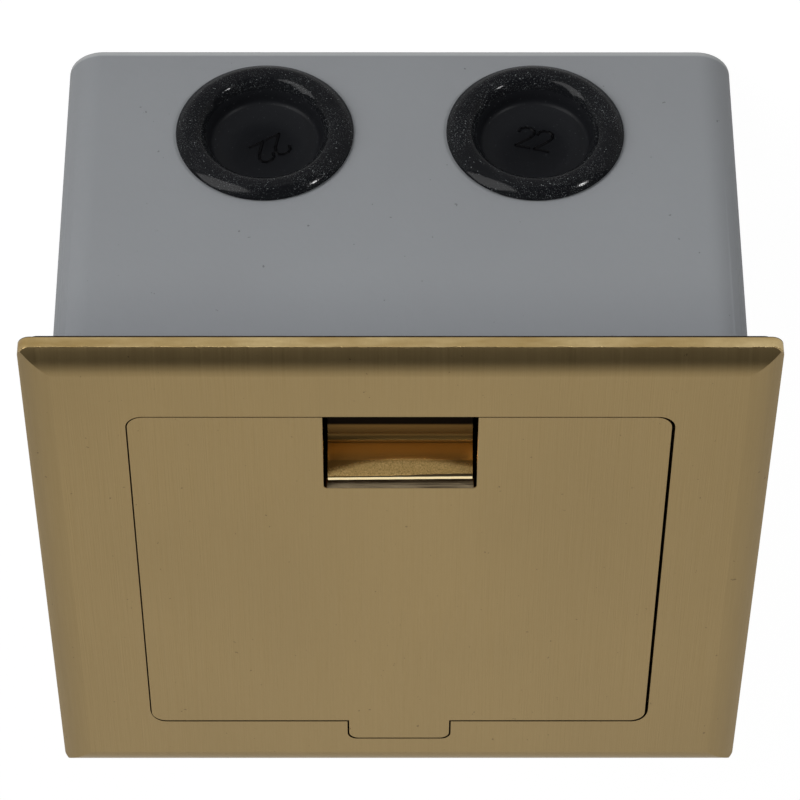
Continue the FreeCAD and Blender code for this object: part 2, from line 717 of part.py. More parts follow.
def cradle():
    """Folded steel: two cheeks, each with a flange under the lid and a turned-in toe."""
    cheek = profile_x(cheek_outline(), CHEEK_X - SHEET_T, CHEEK_X)
    flange = box(CHEEK_X - 9.5, -24.0, CHEEK_TOP - SHEET_T, CHEEK_X, 30.0, CHEEK_TOP)
    side = join([cheek, flange])
    side = side.cut(rod(PIN_R + PIN_PLAY, 20, V(35, HINGE_Y, HINGE_Z), AXIS_X))
    relief = box(30, 24.5, CHEEK_TOP - 4, CHEEK_X - SHEET_T, 31.0, CHEEK_TOP + 1)
    side = side.cut(relief)
    window = [(4.0, 44.0), (26.0, 30.0), (36.0, 34.0), (34.0, 50.0), (12.0, 55.0)]
    side = side.cut(profile_x(window, 35, 50))
    left = mirror_x(side)
    holes = []
    for x, y in LID_SCREWS:
        holes.append(post(1.3, 6, V(x, y, CHEEK_TOP - 3)))
    for a in SECTOR_RIVETS:
        holes.append(post(0.8, 6, sector_point(a, -CHEEK_X - 2), AXIS_X))
    bar_y, bar_z = panel_point(PANEL_L - 3.0, -PANEL_T)
    bar = box(-CHEEK_X + 0.5, bar_y + 1.5, bar_z - 4.5, CHEEK_X - 0.5, bar_y + 8.0, bar_z - 3.0)
    top_bar = box(-CHEEK_X + 9.0, 24.5 - 8.0, CHEEK_TOP - SHEET_T, CHEEK_X - 9.0, 24.5, CHEEK_TOP)
    return join([side, left, bar, top_bar]).cut(Part.makeCompound(holes))


OUTLET_X = -11.25
INSERT_X = 22.5
BODY_GAP = 0.2


def socket_panel():
    """Moulded fascia: a raised surround with a square opening for the inserts."""
    half_x = CHEEK_X - SHEET_T - 0.1
    plate = box(-half_x, -PANEL_L, -PANEL_T, half_x, 0, 0)
    plate = plate.makeFillet(0.6, [e for e in plate.Edges if abs(e.CenterOfMass.z) < 1e-6])
    low = -(PANEL_L + MODULE_H) / 2
    opening = box(-33.75, low, -PANEL_T - 1, 33.75, low + MODULE_H, 1)
    surround = rounded_block(-35.5, low - 1.75, -0.5, 35.5, low + MODULE_H + 1.75, 0.9, 1.5)
    plate = join([plate, surround]).cut(opening)
    ledge = box(-33.75, low, -PANEL_T, 33.75, low + MODULE_H, -PANEL_T + 0.8)
    ledge = ledge.cut(box(-33.75 + 1.2, low + 1.2, -PANEL_T, 33.75 - 1.2, low + MODULE_H - 1.2, 0))
    return place_on_panel(join([plate, ledge]))


def insert_block(centre_x, width, depth):
    """One insert in panel axes: a face that fills the opening and a stepped body."""
    low = -(PANEL_L + MODULE_H) / 2
    half = width / 2 - 0.05
    face = box(centre_x - half, low + 0.1, -PANEL_T + 0.8, centre_x + half, low + MODULE_H - 0.1, 0.5)
    face = face.makeFillet(0.4, [e for e in face.Edges if abs(e.CenterOfMass.z - 0.5) < 1e-6])
    inner = half - 1.3
    top = low + MODULE_H - 1.5
    bottom = low + 1.5
    outline = [
        V(centre_x - inner, bottom, -PANEL_T + 1),
        V(centre_x - inner, bottom, -depth),
        V(centre_x - inner, top - 9.0, -depth),
        V(centre_x - inner, top, -depth + 8.0),
        V(centre_x - inner, top, -PANEL_T + 1),
    ]
    body = Part.Face(Part.makePolygon(outline + outline[:1])).extrude(V(2 * inner, 0, 0))
    return join([face, body])


OUTLET_DEPTH = 19.0
PIN_DEPTH = 14.0


def pin_slots():
    """Slots for a three-pin and a two-pin plug: (x, y, turn, width, height)."""
    mid = -PANEL_L / 2
    slots = [(0.0, mid + 2.0, 0.0, 2.2, 7.2)]
    for side in (-1, 1):
        slots.append((side * 7.0, mid - 8.0, side * 30.0, 2.2, 6.8))
        slots.append((side * 6.6, mid + 14.0, 0.0, 2.4, 6.8))
    return slots


def outlet_module():
    body = insert_block(OUTLET_X, 45.0, OUTLET_DEPTH)
    cuts = []
    for x, y, turn, width, height in pin_slots():
        slot = box(-width / 2, -height / 2, -PIN_DEPTH, width / 2, height / 2, 2)
        slot.rotate(V(0, 0, 0), AXIS_Z, turn)
        slot.translate(V(OUTLET_X + x, y, 0))
        cuts.append(slot)
    mid = -PANEL_L / 2
    for dx, dy in TERMINALS:
        cuts.append(post(2.2, 2.4, V(OUTLET_X + dx, mid + dy, -OUTLET_DEPTH), AXIS_Z))
    return place_on_panel(body.cut(Part.makeCompound(cuts)))


TERMINALS = [(-14.0, -14.0), (0.0, -14.0), (14.0, -14.0)]


def outlet_contacts():
    """Sprung brass leaves at the foot of each slot."""
    leaves = []
    for x, y, turn, width, height in pin_slots():
        for side in (-1, 1):
            x0, x1 = sorted((side * width / 2, side * (width / 2 - 0.45)))
            leaf = box(x0, -height / 2 + 0.4, -PIN_DEPTH, x1, height / 2 - 0.4, -4.0)
            leaf.rotate(V(0, 0, 0), AXIS_Z, turn)
            leaf.translate(V(OUTLET_X + x, y, 0))
            leaves.append(leaf)
    return place_on_panel(Part.makeCompound(leaves))


def terminal_screws():
    mid = -PANEL_L / 2
    screws = []
    for dx, dy in TERMINALS:
        seat = V(OUTLET_X + dx, mid + dy, -OUTLET_DEPTH + 1.0)
        screws.append(pan_screw(2.0, 1.4, 1.2, 1.4, seat, AXIS_Z))
    return place_on_panel(Part.makeCompound(screws))


def blank_insert():
    return place_on_panel(insert_block(INSERT_X, 22.5, 8.5))


SHIELD_DROP = 8.5


def rear_shield():
    """Moulded cover behind the terminals, following the cheeks' rear and foot."""
    outer = cheek_outline(0.4)
    rear = [outer[5], outer[4], outer[3]]
    back = [
        (rear[0][0], rear[0][1] - SHIELD_DROP),
        rear[1],
        rear[2],
        (rear[2][0] - 0.9, rear[2][1] + 1.2),
        (rear[1][0] - 1.6, rear[1][1] + 0.9),
        (rear[0][0] - 1.6, rear[0][1] - SHIELD_DROP),
    ]
    half_x = CHEEK_X - SHEET_T - 0.05
    shield = profile_x(back, -half_x, half_x)
    vents = []
    for i in range(9):
        x = -32 + 8 * i
        vents.append(box(x - 1.25, REAR_Y - 5, HINGE_Z - 24, x + 1.25, REAR_Y + 5, HINGE_Z - 10))
    return shield.cut(Part.makeCompound(vents))


# ---- latch --------------------------------------------------------------------
GUIDE_FLOOR = PLATE_TOP - 8.2
BLOCK_REAR_Y = -19.0
GUIDE_REAR_Y = -11.2
BLOCK_TOP = LID_BOTTOM - 0.25
BLOCK_LOW = GUIDE_FLOOR + GUIDE_T + 0.25


def latch_slide():
    """Finger latch: crest, thumb slope and floor in view, tongue ahead, block behind."""
    top = PLATE_TOP
    tip_y = LID_FRONT_Y - 0.1
    crest_y = WINDOW_REAR_Y - LATCH_TRAVEL - 0.45
    under = TONGUE_TOP - TONGUE_T
    points = {
        "back_low": V(0, crest_y + 0.35, BLOCK_TOP),
        "back_high": V(0, crest_y + 0.35, top - 0.8),
        "crest": V(0, crest_y, top - 0.35),
        "crest_front": V(0, crest_y - 0.75, top - 0.62),
        "slope": V(0, -29.7, top - 2.4),
        "slope_low": V(0, -30.9, top - 5.0),
        "fillet": V(0, -31.3, top - 5.68),
        "floor": V(0, -32.1, TONGUE_TOP),
        "tip_top": V(0, tip_y, TONGUE_TOP),
        "tip_low": V(0, tip_y + 0.9, under),
        "under": V(0, -28.0, under),
        "block_low": V(0, -28.0, BLOCK_LOW),
        "rear_low": V(0, BLOCK_REAR_Y, BLOCK_LOW),
        "rear_top": V(0, BLOCK_REAR_Y, BLOCK_TOP),
    }
    p = points
    edges = [
        Part.makeLine(p["back_low"], p["back_high"]),
        Part.Arc(p["back_high"], p["crest"], p["crest_front"]).toShape(),
        Part.makeLine(p["crest_front"], p["slope"]),
        Part.makeLine(p["slope"], p["slope_low"]),
        Part.Arc(p["slope_low"], p["fillet"], p["floor"]).toShape(),
        Part.makeLine(p["floor"], p["tip_top"]),
        Part.makeLine(p["tip_top"], p["tip_low"]),
        Part.makeLine(p["tip_low"], p["under"]),
        Part.makeLine(p["under"], p["block_low"]),
        Part.makeLine(p["block_low"], p["rear_low"]),
        Part.makeLine(p["rear_low"], p["rear_top"]),
        Part.makeLine(p["rear_top"], p["back_low"]),
    ]
    face = Part.Face(Part.Wire(edges))
    body = face.extrude(V(2 * LATCH_HALF_X, 0, 0))
    body.translate(V(-LATCH_HALF_X, 0, 0))
    wings = box(-14, -25, BLOCK_LOW, 14, BLOCK_REAR_Y, BLOCK_TOP - 2.0)
    body = join([body, wings])
    mid_z = (BLOCK_LOW + BLOCK_TOP) / 2
    bores = [post(1.7, 4.5, V(sx * 7, BLOCK_REAR_Y - 4.5, mid_z), AXIS_Y) for sx in (-1, 1)]
    return body.cut(Part.makeCompound(bores))


def latch_guide():
    """Channel screwed under the lid: floor, side rails, rear stop and two spring pegs."""
    floor = box(-15.8, -25.0, GUIDE_FLOOR, 15.8, GUIDE_REAR_Y + 1.3, GUIDE_FLOOR + GUIDE_T)
    parts = [floor]
    for sx in (-1, 1):
        x0, x1 = sorted((sx * 14.3, sx * 15.8))
        parts.append(box(x0, -25.0, GUIDE_FLOOR, x1, GUIDE_REAR_Y + 1.3, LID_BOTTOM))
        x0, x1 = sorted((sx * 14.3, sx * 21.6))
        parts.append(box(x0, -23.0, LID_BOTTOM - GUIDE_T, x1, -17.0, LID_BOTTOM))
    parts.append(box(-15.8, GUIDE_REAR_Y, GUIDE_FLOOR, 15.8, GUIDE_REAR_Y + 1.3, LID_BOTTOM))
    mid_z = (BLOCK_LOW + BLOCK_TOP) / 2
    for sx in (-1, 1):
        parts.append(post(0.7, 2.0, V(sx * 7, GUIDE_REAR_Y - 2.0, mid_z), AXIS_Y))
    guide = join(parts)
    holes = [post(1.3, 4, V(x, y, LID_BOTTOM - 3)) for x, y in GUIDE_SCREWS]
    return guide.cut(Part.makeCompound(holes))


def latch_springs():
    mid_z = (BLOCK_LOW + BLOCK_TOP) / 2
    wire_r = 0.25
    start_y = BLOCK_REAR_Y - 4.5 + wire_r
    length = GUIDE_REAR_Y - wire_r - start_y
    springs = []
    for sx in (-1, 1):
        spring = wire_coil(coil_points(0, length, 1.2, 5, 5), wire_r)
        spring.rotate(V(0, 0, 0), AXIS_Z, 90)
        spring.translate(V(sx * 7, start_y, mid_z))
        springs.append(spring)
    return Part.makeCompound(springs)


# ---- write every node ---------------------------------------------------------
def nodes():
    made = {
        "cover_plate": cover_plate(),
        "floor_gasket": floor_gasket(),
        "back_box": back_box(),
        "grommet_front_left": grommet(-GROMMET_X, -1),
        "grommet_front_right": grommet(GROMMET_X, -1),
        "grommet_rear_left": grommet(-GROMMET_X, 1),
        "grommet_rear_right": grommet(GROMMET_X, 1),
        "earth_terminal": earth_terminal(),
        "inner_frame": inner_frame(),
        "frame_screws": frame_screws(),
        "box_screws": box_screws(),
        "lid_buffers": lid_buffers(),
        "hinge_pin_left": hinge_pin(-1),
        "hinge_pin_right": hinge_pin(1),
        "lid_spring_left": lid_spring(-1),
        "lid_spring_right": lid_spring(1),
        "damper_body": damper_body(),
        "damper_screws": damper_screws(),
        "damper_pinion": damper_pinion(),
        "damper_sector": damper_sector(),
        "sector_rivets": sector_rivets(),
        "lid": lid(),
        "lid_screws": lid_screws(),
        "cradle": cradle(),
        "rear_shield": rear_shield(),
        "socket_panel": socket_panel(),
        "outlet_module": outlet_module(),
        "outlet_contacts": outlet_contacts(),
        "terminal_screws": terminal_screws(),
        "blank_insert": blank_insert(),
        "latch_slide": latch_slide(),
        "latch_guide": latch_guide(),
        "latch_springs": latch_springs(),
    }
    return made


os.makedirs("parts", exist_ok=True)
for name, shape in nodes().items():
    shape.exportStep("parts/" + name + ".step")
    size = shape.BoundBox
    print(name, "solids", len(shape.Solids), "valid", shape.isValid(), "volume", round(shape.Volume, 1),
          "z", round(size.ZMin, 2), round(size.ZMax, 2))
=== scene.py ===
# %% [markdown]
# # A pop-up floor socket box in brushed brass
# The model is a cover plate with a hinged lid and a finger latch, over a grey back box
# with rubber cable grommets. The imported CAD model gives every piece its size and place;
# this file gives each surface its finish and builds the pieces that are seen up close.
# Everything is in metres, +Z up out of the floor, with the latch on the -Y side.

# %% Load the fixed frame
import json
import math

import bmesh
import bpy
from mathutils import Matrix, Vector


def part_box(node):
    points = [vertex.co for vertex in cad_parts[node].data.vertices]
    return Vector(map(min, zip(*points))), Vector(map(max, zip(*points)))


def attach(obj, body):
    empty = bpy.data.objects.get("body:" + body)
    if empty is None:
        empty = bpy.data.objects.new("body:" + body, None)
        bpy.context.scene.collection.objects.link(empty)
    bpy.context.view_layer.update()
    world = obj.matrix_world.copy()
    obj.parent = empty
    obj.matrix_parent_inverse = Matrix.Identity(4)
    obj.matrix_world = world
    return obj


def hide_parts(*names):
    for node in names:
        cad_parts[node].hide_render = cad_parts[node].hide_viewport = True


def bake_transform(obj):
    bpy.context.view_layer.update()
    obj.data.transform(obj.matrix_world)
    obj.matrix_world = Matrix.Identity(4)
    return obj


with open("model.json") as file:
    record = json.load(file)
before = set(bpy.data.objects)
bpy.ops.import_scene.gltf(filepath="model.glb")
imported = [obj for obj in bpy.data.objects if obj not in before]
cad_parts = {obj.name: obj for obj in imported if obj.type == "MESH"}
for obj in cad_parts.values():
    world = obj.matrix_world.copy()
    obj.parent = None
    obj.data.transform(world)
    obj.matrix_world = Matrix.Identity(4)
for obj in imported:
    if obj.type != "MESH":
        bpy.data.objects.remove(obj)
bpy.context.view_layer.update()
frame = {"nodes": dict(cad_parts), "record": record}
nodes = frame["nodes"]
MM = 0.001

# %% [markdown]
# ## Shader sums
# A finish is a sum of small effects: a base tone, a drift of tone over the surface, fine
# lines, specks. Written as node links such sums are hard to read, so one small class
# wraps a node's output and lets Python's own operators add the Math nodes. Numbers alone
# stay in Python; colours go through Mix nodes, because a Math node would turn them grey.


# %% The socket class and the finish that collects its nodes
class Value:
    """A node's output socket. Sums on it add Math nodes."""

    def __init__(self, finish, socket):
        self.finish = finish
        self.socket = socket

    def sum(self, operation, *others):
        """A Math node of that operation on this value and any others."""
        inputs = dict(enumerate((self,) + others))
        return self.finish.node("ShaderNodeMath", {"operation": operation}, inputs)

    def flipped(self, operation, first):
        """The same with this value second, for number - value and the like."""
        return self.finish.node("ShaderNodeMath", {"operation": operation}, {0: first, 1: self})

    def __add__(self, other):
        return self.sum("ADD", other)

    def __sub__(self, other):
        return self.sum("SUBTRACT", other)

    def __mul__(self, other):
        return self.sum("MULTIPLY", other)

    def __radd__(self, other):
        return self.flipped("ADD", other)

    def __rsub__(self, other):
        return self.flipped("SUBTRACT", other)

    def __rmul__(self, other):
        return self.flipped("MULTIPLY", other)

    def above(self, edge, soft):
        """0 below edge, 1 above edge + soft, smooth between."""
        return self.finish.node(
            "ShaderNodeMapRange",
            {"interpolation_type": "SMOOTHSTEP"},
            {"Value": self, "From Min": edge, "From Max": edge + soft},
        )

    def below(self, edge, soft):
        """1 below edge, 0 above edge + soft, smooth between."""
        return 1 - self.above(edge, soft)


class Finish:
    """One material: a Principled shader and the nodes that feed it."""

    def __init__(self, name, **constants):
        self.material = bpy.data.materials.new(name)
        self.material.use_nodes = True
        self.tree = self.material.node_tree
        self.shader = self.tree.nodes["Principled BSDF"]
        for socket, value in constants.items():
            self.shader.inputs[socket.replace("_", " ")].default_value = value
        self.place = self.node("ShaderNodeTexCoord", {}, {}, "Object")

    def node(self, kind, settings, inputs, output=0):
        """Add a node, set its settings, feed its inputs, and return one output."""
        made = self.tree.nodes.new(kind)
        for key, value in settings.items():
            setattr(made, key, value)
        for key, value in inputs.items():
            if isinstance(value, Value):
                self.tree.links.new(value.socket, made.inputs[key])
            else:
                made.inputs[key].default_value = value
        return Value(self, made.outputs[output])

    def axis(self, index):
        """One object coordinate, in metres: 0 is x, 1 is y, 2 is z."""
        return self.node("ShaderNodeSeparateXYZ", {}, {0: self.place}, index)

    def stretched(self, x, y, z):
        """Object coordinates scaled by axis, in features per metre."""
        scale = {0: self.place, 1: (x, y, z)}
        return self.node("ShaderNodeVectorMath", {"operation": "MULTIPLY"}, scale)

    def noise(self, x, y, z, detail=2.0, rough=0.5):
        """Cloudy noise from 0 to 1 with x, y and z features per metre along each axis."""
        inputs = {"Vector": self.stretched(x, y, z), "Scale": 1.0}
        inputs |= {"Detail": detail, "Roughness": rough}
        return self.node("ShaderNodeTexNoise", {}, inputs)

    def blend(self, amount, first, second):
        """Mix two colours: all first at amount 0, all second at 1."""
        settings = {"data_type": "RGBA", "blend_type": "MIX"}
        return self.node("ShaderNodeMix", settings, {0: amount, 6: first, 7: second}, 2)

    def feed(self, socket, value):
        """Link a value to one of the Principled shader's sockets."""
        self.tree.links.new(value.socket, self.shader.inputs[socket])

    def bump(self, height, depth):
        """Feed a height in units of depth metres to the shader's normal."""
        inputs = {"Height": height, "Distance": depth, "Strength": 1.0}
        self.feed("Normal", self.node("ShaderNodeBump", {}, inputs))


def linear(red, green, blue):
    """A colour written as it shows, 0 to 255, turned to the shader's linear scale."""
    out = []
    for level in (red, green, blue):
        c = level / 255
        out.append(c / 12.92 if c <= 0.04045 else ((c + 0.055) / 1.055) ** 2.4)
    return (*out, 1.0)


# %% [markdown]
# ## Brushed brass
# The plate and the lid are brushed in one direction, front to back, with a belt. A belt
# leaves thousands of shallow scratches, each a fraction of a millimetre wide and some
# centimetres long. They could be an image; here they are noise that is squeezed across
# the brushing and drawn out along it, at two widths, so that no line repeats. The lines
# change the tone, the roughness and the surface's tilt a little each. A few dark
# pits and a slow drift of tone keep the field from looking printed. The plate's outer edge was
# cut after the brushing, so a mask by height turns it brighter and ragged there, with a
# dark line of painted shade along its lower edge, where the plate meets the box. A second
# mask paints shade on the window's side walls beside the latch's crest, deep in the window.

# %% Heights and places that the brass finishes use
PLATE_EDGE_H = 2.0 * MM
WINDOW_HALF_X = 12.2 * MM
WINDOW_REAR_Y = -25.25 * MM
lid_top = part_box("lid")[1].z
edge_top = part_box("cover_plate")[0].z + PLATE_EDGE_H


# %% Brass finish for the plate and the lid
def window_corner_shade(finish):
    """A mask of painted shade on the window's side walls, beside the latch's crest."""
    side = finish.axis(0).sum("ABSOLUTE")
    along = finish.axis(1)
    thin = 0.1 * MM
    mask = side.above(WINDOW_HALF_X - 0.3 * MM, thin) * side.below(WINDOW_HALF_X + 0.5 * MM, thin)
    mask = mask * along.above(WINDOW_REAR_Y - 2.35 * MM, 0.5 * MM)
    mask = mask * along.below(WINDOW_REAR_Y + 0.25 * MM, thin)
    return mask * finish.axis(2).below(lid_top - 0.2 * MM, thin)


def brushed_brass(name, tone, deep, rough, line_depth):
    finish = Finish(name, Metallic=1.0)
    fine = finish.noise(5200, 60, 60, 1.0)
    broad = finish.noise(1500, 24, 60, 2.0)
    drift = finish.noise(30, 14, 20, 3.0)
    mottle = finish.noise(700, 420, 200, 2.0)
    pits = finish.noise(820, 640, 300, 2.0, 0.7).above(0.735, 0.02)
    lines = fine * 0.5 + broad * 0.35 + mottle * 0.15
    colour = finish.blend((lines - 0.5) * 1.1 + 0.5, deep, tone)
    colour = finish.blend((drift - 0.35) * 0.5, colour, linear(172, 150, 108))
    colour = finish.blend(pits * 0.45, colour, linear(92, 74, 44))
    ragged = finish.noise(420, 420, 300, 3.0, 0.7)
    height = finish.axis(2)
    cut = (height + (ragged - 0.5) * (0.9 * MM)).below(edge_top, 0.1 * MM)
    # painted shade: a dark line along the plate's lower edge, where it meets the box
    foot_shade = height.below(edge_top - 1.98 * MM, 0.22 * MM)
    smear = finish.noise(60, 60, 240, 3.0, 0.6)
    bare = finish.blend((smear - 0.3) * 2.2, linear(170, 140, 84), linear(238, 214, 160))
    colour = finish.blend(cut * (ragged * 1.2 + 0.2), colour, bare)
    colour = finish.blend(foot_shade, colour, linear(52, 38, 26))
    # painted shade in the window's corners beside the crest
    colour = finish.blend(window_corner_shade(finish), colour, linear(34, 26, 16))
    finish.feed("Base Color", colour)
    finish.feed("Roughness", rough + (lines - 0.5) * 0.14 + (drift - 0.5) * 0.08)
    finish.bump(lines + cut * ragged * 3, line_depth)
    return finish.material


plate_brass = brushed_brass(
    "plate_brass", linear(199, 173, 124), linear(181, 154, 104), rough=0.35, line_depth=0.05 * MM
)
print("brass cut edge up to", round(edge_top / MM, 2), "mm, lid top at", round(lid_top / MM, 2), "mm")

# %% [markdown]
# ## The latch's brass
# The latch is one brass strip. Two materials could meet at an edge, but the change is
# soft, so one finish carries it: a mask rises with height, and its edge bows up at the
# middle and leans to one side. Above the edge the slope is rougher, dull and speckled.
# Below it the lower slope is smoother, and it and the floor are painted a deep, warm brass
# as shade, the painted shadow of the window's front edge, where light comes only by way of
# other brass. The floor is duller and painted darker as shade, and its front end, under
# the plate, is painted near black as the plate's shadow.


# %% Latch finish
def latch_finish():
    finish = Finish("latch_brass", Metallic=1.0)
    across = finish.axis(0)
    height = finish.axis(2)
    grain = finish.noise(4200, 4200, 4200, 2.0, 0.6)
    soft = finish.noise(160, 160, 160, 2.0)
    bow = 8.0
    lean = 0.03
    level = height - across * across * bow - across * lean + (soft - 0.5) * (0.9 * MM)
    # below this mask's edge the colour is painted shade, the shadow of the window's front edge
    satin_above_shadow = level.above(lid_top - 3.1 * MM, 1.1 * MM)
    # the sunk floor is rougher and painted darker as shade
    sunk = height.below(lid_top - 5.6 * MM, 0.3 * MM)
    # painted shadow of the plate over the front end of the latch's floor
    front = finish.axis(1).below(-34.9 * MM, 0.7 * MM)
    colour = finish.blend(satin_above_shadow, linear(214, 154, 76), linear(220, 182, 114))
    colour = finish.blend((grain - 0.5) * satin_above_shadow * 2.4, colour, linear(250, 222, 160))
    colour = finish.blend((0.5 - grain) * satin_above_shadow * 2.4, colour, linear(138, 103, 54))
    colour = finish.blend(sunk * 0.9, colour, linear(176, 142, 84))
    colour = finish.blend(front, colour, linear(24, 17, 10))
    finish.feed("Base Color", colour)
    finish.feed("Roughness", 0.2 + satin_above_shadow * 0.2 + sunk * 0.22 + (grain - 0.5) * 0.1)
    finish.bump(grain * satin_above_shadow, 0.03 * MM)
    return finish.material


latch_brass = latch_finish()
# this height is also where the painted shadow edge lies
print("latch turns satin about", round((lid_top - 3.1 * MM) / MM, 2), "mm up")

# %% [markdown]
# ## Coated steel and rubber
# The back box is pressed steel with a smooth grey coating. Its surface is nearly plain,
# so it lives by small things: a slow drift of tone, an orange-peel ripple, a few dark
# specks, a band painted darker toward the plate as shade, and a worn bottom edge. The
# grommets are moulded rubber. Their rim is glossy and holds fine dust, and the sunk floor
# is dull and clean; one mask by the distance from the box's middle tells the two apart.


# %% Grey coating and rubber
def grey_coating():
    finish = Finish("box_grey", Roughness=0.5, Specular_IOR_Level=0.4)
    drift = finish.noise(30, 30, 30, 3.0)
    peel = finish.noise(900, 900, 900, 2.0)
    specks = finish.noise(700, 700, 700, 2.0, 0.7).above(0.735, 0.02)
    base = finish.blend(drift, linear(126, 128, 131), linear(132, 135, 138))
    base = finish.blend(specks * 0.6, base, linear(70, 72, 75))
    height = finish.axis(2)
    # painted shade: the wall darkens toward the plate
    under_plate_shade = height.above(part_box("back_box")[1].z - 18 * MM, 18 * MM)
    worn = height.below(0.9 * MM, 0.5 * MM)
    base = finish.blend(under_plate_shade * 0.5, base, linear(104, 107, 112))
    base = finish.blend(worn * 0.6, base, linear(176, 178, 178))
    finish.feed("Base Color", base)
    finish.feed("Roughness", 0.46 + drift * 0.12)
    finish.bump(peel, 0.03 * MM)
    return finish.material


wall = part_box("back_box")[1].y


def rubber(name, tone, dust):
    """Black rubber, glossy and dusty on a rim that stands out of a wall, dull inside it."""
    finish = Finish(name, Specular_IOR_Level=0.08)
    grain = finish.noise(2400, 2400, 2400, 2.0)
    drift = finish.noise(120, 120, 120, 3.0)
    coarse = finish.noise(3400, 3400, 3400, 1.0, 0.5).above(0.73, 0.03)
    tiny = finish.noise(6400, 6400, 6400, 1.0, 0.5).above(0.605, 0.08)
    patch = finish.noise(190, 190, 190, 2.0).above(0.26, 0.36)
    outward = finish.axis(1).sum("ABSOLUTE")
    rim = outward.above(wall - 0.4 * MM, 0.9 * MM)
    specks = coarse * (rim * 0.7 + 0.3) + tiny * patch * rim * 0.4
    colour = finish.blend(drift * 0.4, tone, linear(28, 29, 32))
    colour = finish.blend((1 - rim) * 0.6, colour, linear(26, 27, 30))
    colour = finish.blend(specks * dust, colour, linear(158, 162, 164))
    finish.feed("Base Color", colour)
    finish.feed("Roughness", 0.06 + drift * 0.08 + specks * 0.3 + (1 - rim) * 0.32)
    finish.bump(grain, 0.01 * MM)
    return finish.material


box_grey = grey_coating()
grommet_rubber = rubber("grommet_rubber", linear(14, 15, 17), 0.5)
gasket_rubber = rubber("gasket_rubber", linear(18, 18, 18), 0.1)

# %% [markdown]
# ## The working parts
# Inside are zinc-plated sheet, turned pins, nylon gears and moulded inserts. Two kinds of
# finish cover them: plated metal, with the spangle of zinc, and moulded plastic, with a
# fine texture. Each part could have a shader of its own, but few of them show until the
# lid is up, so they share these two and differ by tone and grain.


# %% Inner finishes
def plated(name, tone, rough):
    finish = Finish(name, Metallic=1.0)
    spangle = finish.noise(260, 260, 260, 3.0)
    fine = finish.noise(2500, 2500, 2500, 1.0)
    finish.feed("Base Color", finish.blend(spangle, tone, linear(214, 214, 210)))
    finish.feed("Roughness", rough + spangle * 0.14)
    finish.bump(fine, 0.01 * MM)
    return finish.material


def moulded(name, tone, other, rough, grain, depth, shine=0.5):
    finish = Finish(name, Specular_IOR_Level=shine)
    drift = finish.noise(80, 80, 80, 2.0)
    texture = finish.noise(grain, grain, grain, 2.0)
    finish.feed("Base Color", finish.blend(drift, tone, other))
    finish.feed("Roughness", rough + texture * 0.1)
    finish.bump(texture, depth)
    return finish.material


number_rubber = moulded(
    "number_rubber", linear(3, 3, 4), linear(7, 7, 9), 0.3, 900, 0.01 * MM, shine=0.06
)
finishes = {
    "plate_brass": plate_brass,
    "latch_brass": latch_brass,
    "box_grey": box_grey,
    "grommet_rubber": grommet_rubber,
    "gasket_rubber": gasket_rubber,
    "contact_brass": plated("contact_brass", linear(196, 166, 96), 0.3),
    "zinc_steel": plated("zinc_steel", linear(176, 178, 180), 0.3),
    "screw_steel": plated("screw_steel", linear(160, 160, 158), 0.32),
    "pin_steel": plated("pin_steel", linear(188, 188, 188), 0.2),
    "spring_steel": plated("spring_steel", linear(120, 120, 122), 0.3),
    "damper_black": moulded(
        "damper_black", linear(30, 30, 31), linear(38, 38, 39), 0.45, 900, 0.03 * MM
    ),
    "gear_nylon": moulded(
        "gear_nylon", linear(216, 213, 200), linear(226, 223, 212), 0.4, 700, 0.02 * MM
    ),
    "panel_black": moulded(
        "panel_black", linear(34, 34, 35), linear(42, 42, 43), 0.5, 1400, 0.05 * MM
    ),
    "module_white": moulded(
        "module_white", linear(226, 226, 220), linear(234, 233, 228), 0.25, 500, 0.01 * MM
    ),
}
print("finishes:", len(finishes))

# %% [markdown]
# ## Dressing the CAD nodes
# The record says which finish each node takes. Most nodes' shapes are right already, so
# they keep their meshes and only get materials. Remodelling them here could only bring
# them out of step with the working model.

# %% Give each node its finish
for part in frame["record"]["subparts"]:
    node = nodes[part["node"]]
    node.data.materials.clear()
    node.data.materials.append(finishes[part["material_slot"]])

# %% [markdown]
# ## Back box
# The box is drawn from one sheet, so every outside corner is a bend: the upright ones are
# wide, the ones round the bottom small. It could be a sheet with a thickness modifier;
# a block with bevelled edges that is hollowed and pierced by cutting bodies gives the
# two bends exact radii. The cutters are removed after their cut is applied. Lugs for the
# frame's screws and the earth boss are joined on.


# %% Solid and cutting helpers
def solid_block(low, high, corner_r, edge_r=0.0):
    """A block with rounded upright edges and, if asked, a rounded bottom."""
    form = bmesh.new()
    bmesh.ops.create_cube(form, size=1)
    for v in form.verts:
        v.co = [low[i] if v.co[i] < 0 else high[i] for i in range(3)]
    upright = [e for e in form.edges if abs(e.verts[0].co.z - e.verts[1].co.z) > 1e-6]
    if corner_r:
        bmesh.ops.bevel(
            form, geom=upright, offset=corner_r, segments=12, affect="EDGES", profile=0.5
        )
    if edge_r:
        bottom = [e for e in form.edges if all(abs(v.co.z - low[2]) < 1e-7 for v in e.verts)]
        bmesh.ops.bevel(form, geom=bottom, offset=edge_r, segments=4, affect="EDGES", profile=0.5)
    mesh = bpy.data.meshes.new("block")
    form.to_mesh(mesh)
    form.free()
    return mesh


def solid_rod(radius, start, end, around=64):
    """A closed cylinder from start to end."""
    form = bmesh.new()
    start, end = Vector(start), Vector(end)
    turn = (end - start).to_track_quat("Z", "Y").to_matrix().to_4x4()
    place = Matrix.Translation((start + end) / 2) @ turn
    bmesh.ops.create_cone(
        form, cap_ends=True, segments=around, radius1=radius, radius2=radius,
        depth=(end - start).length, matrix=place,
    )
    mesh = bpy.data.meshes.new("rod")
    form.to_mesh(mesh)
    form.free()
    return mesh


